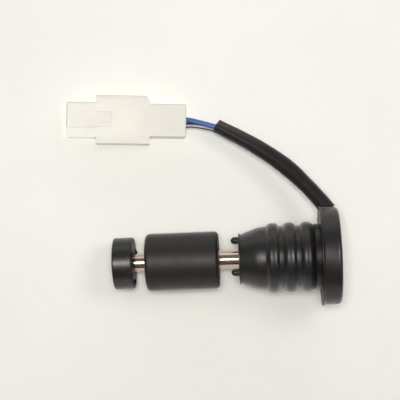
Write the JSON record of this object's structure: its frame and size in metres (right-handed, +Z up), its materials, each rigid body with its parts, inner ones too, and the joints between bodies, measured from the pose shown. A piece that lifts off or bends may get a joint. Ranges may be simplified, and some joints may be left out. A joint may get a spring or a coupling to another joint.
{
  "type": "fuel level sender",
  "caption": "Float level sender: ribbed rubber tank plug with flange, metal stem, sliding magnet float, end stop disc and a short sleeved lead with a nylon connector pair.",
  "frame": {"origin": "middle of the flange's underside, where it rests on the tank", "axes": "+Z up along the stem towards the flange's top, the lead on the -X side, -Y towards the picture's camera"},
  "size_m": [0.0843, 0.038, 0.1038],
  "materials": {
    "black_rubber": "satin moulded rubber",
    "float_foam": "matte foam with a moulded skin",
    "stop_plastic": "satin moulding",
    "stem_metal": "drawn and polished, warm tint",
    "sleeve_vinyl": "soft vinyl, creased",
    "blue_insulation": "smooth",
    "black_insulation": "smooth",
    "natural_nylon": "translucent natural nylon",
    "terminal_brass": "stamped",
    "collar_brass": "turned",
    "ferrite": "sintered",
    "capsule_glass": "clear",
    "reed_alloy": "plated",
    "insulator_vinyl": "clear to milky",
    "inner_insulation": "smooth",
    "crimp_metal": "tinned",
    "potting_compound": "cast"
  },
  "bodies": {
    "sender": {"seal_plug": "black_rubber", "stem_tube": "stem_metal", "stem_collar": "collar_brass", "stem_potting": "potting_compound", "end_stop": "stop_plastic", "reed_glass": "capsule_glass", "upper_reed": "reed_alloy", "lower_reed": "reed_alloy", "reed_insulator": "insulator_vinyl", "feed_wire": "inner_insulation", "return_wire": "inner_insulation", "feed_splice": "crimp_metal", "return_splice": "crimp_metal", "upper_crimp": "crimp_metal", "lower_crimp": "crimp_metal", "blue_wire": "blue_insulation", "black_wire": "black_insulation", "lead_sleeve": "sleeve_vinyl", "tab_housing": "natural_nylon", "blue_terminal": "terminal_brass", "black_terminal": "terminal_brass"},
    "float": {"float_body": "float_foam", "ring_magnet": "ferrite"},
    "socket": {"socket_housing": "natural_nylon"}
  },
  "joints": [
    {"name": "float_slide", "type": "slide", "parent": "sender", "child": "float", "axis": [0, 0, 1], "range_m": [-0.004, 0.0045]},
    {"name": "plug_slide", "type": "slide", "parent": "sender", "child": "socket", "axis": [-0.052, -0.1132, -0.9922], "range_m": [0, 0.0145]}
  ]
}
